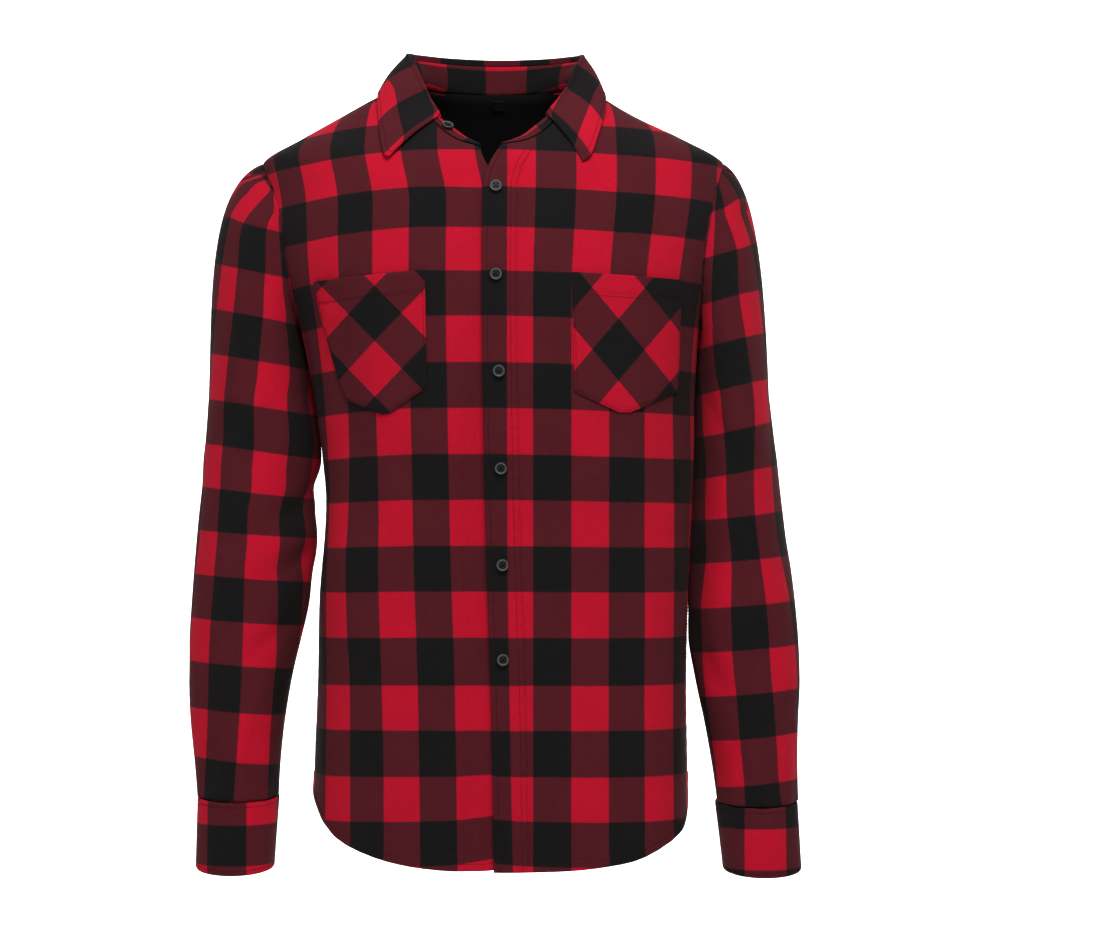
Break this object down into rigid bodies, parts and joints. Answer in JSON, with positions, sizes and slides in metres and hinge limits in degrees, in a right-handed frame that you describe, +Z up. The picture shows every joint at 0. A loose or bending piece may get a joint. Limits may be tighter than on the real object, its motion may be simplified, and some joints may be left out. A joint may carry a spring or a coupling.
{
  "type": "flannel shirt, worn shape",
  "caption": "Buffalo check flannel shirt in its worn shape, long sleeves, button front, two bias-cut chest pockets, curved shirttail hem.",
  "frame": {"origin": "middle of the neck, level with the high ends of the shoulder seams, where the wearer's shoulders hold the shirt up", "axes": "+Z up along the body, -Y out of the chest, +X towards the wearer's left arm"},
  "size_m": [0.5793, 0.2514, 0.7845],
  "materials": {
    "check_flannel": "matte",
    "black_lining": "matte",
    "black_buttons": "satin"
  },
  "bodies": {
    "root": {"front_right": "check_flannel", "front_left": "check_flannel", "placket": "check_flannel", "back": "check_flannel", "yoke": "check_flannel", "yoke_lining": "black_lining", "collar_leaf": "check_flannel", "collar_stand": "check_flannel", "neck_label": "black_lining", "sleeve_right": "check_flannel", "sleeve_left": "check_flannel", "cuff_right": "check_flannel", "cuff_left": "check_flannel", "pocket_left": "check_flannel", "pocket_right": "check_flannel", "button_1": "black_buttons", "button_2": "black_buttons", "button_3": "black_buttons", "button_4": "black_buttons", "button_5": "black_buttons", "button_6": "black_buttons", "button_collar": "black_buttons", "cuff_button_left": "black_buttons", "cuff_button_right": "black_buttons"}
  },
  "joints": []
}
